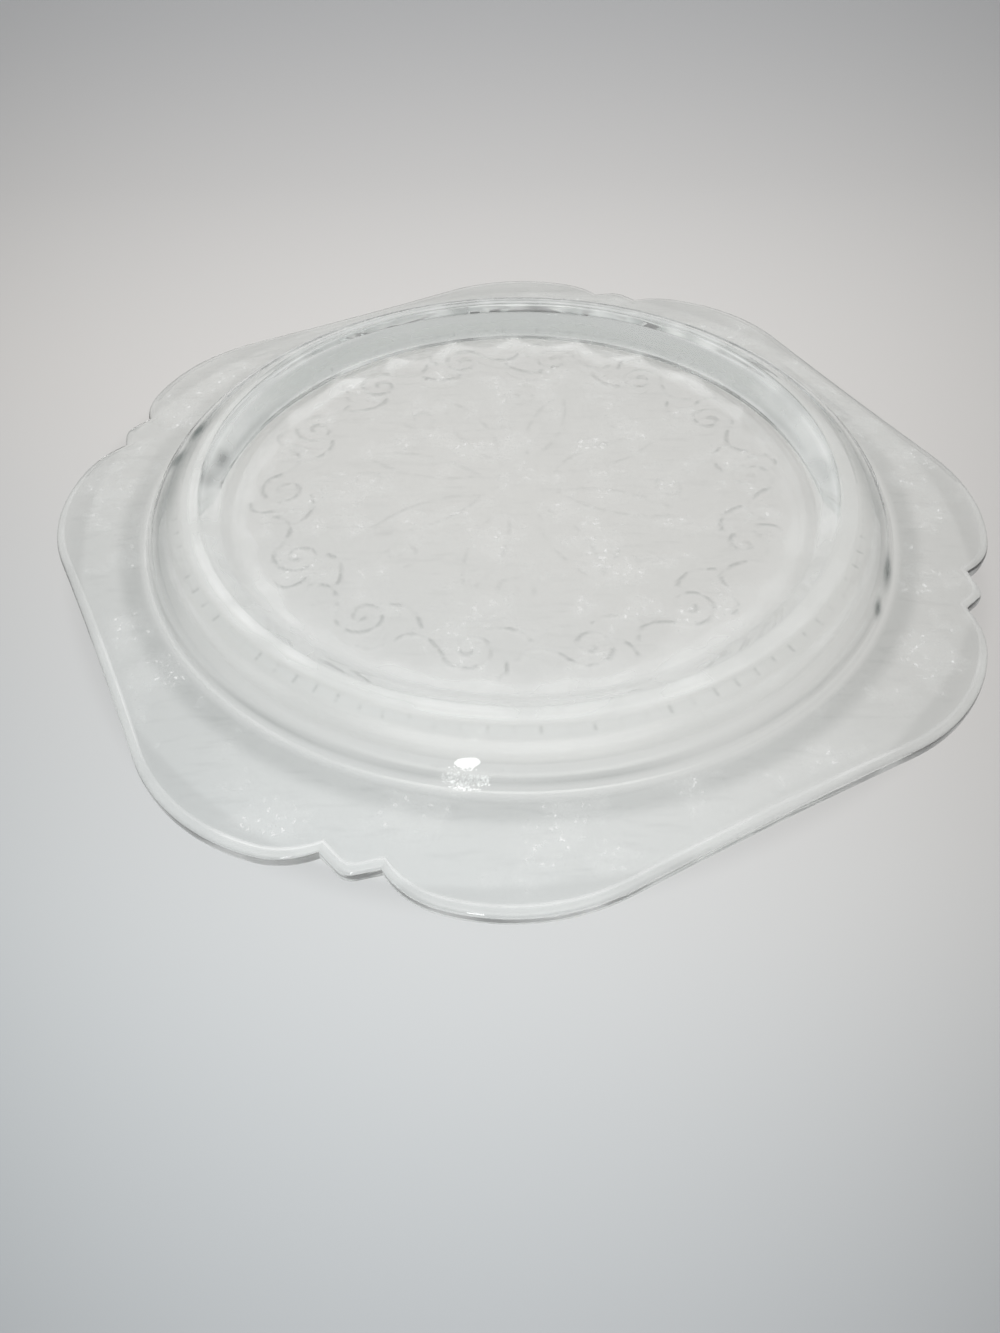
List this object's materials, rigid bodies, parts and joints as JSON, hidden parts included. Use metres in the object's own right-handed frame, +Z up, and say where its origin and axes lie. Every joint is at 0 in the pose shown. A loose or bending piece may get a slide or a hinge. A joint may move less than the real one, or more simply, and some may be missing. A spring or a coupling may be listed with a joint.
{
  "type": "glass dinner plate",
  "caption": "Clear pressed-glass dinner plate with a four-sided rim of soft lobes and notched corner tabs, a round well and a raised foot ring, lying face down on its rim.",
  "frame": {"origin": "on the table, under the middle of the plate, which lies face down on its rim as in the picture", "axes": "+Z up along the plate's axis, from the table to the foot ring; X and Y square to the rim's sides, with the corner tabs on the diagonals"},
  "size_m": [0.2564, 0.2564, 0.0188],
  "materials": {
    "clear_glass": "fire-polished clear pressed glass with a faint green-grey cast"
  },
  "bodies": {
    "root": {"plate": "clear_glass"}
  },
  "joints": []
}
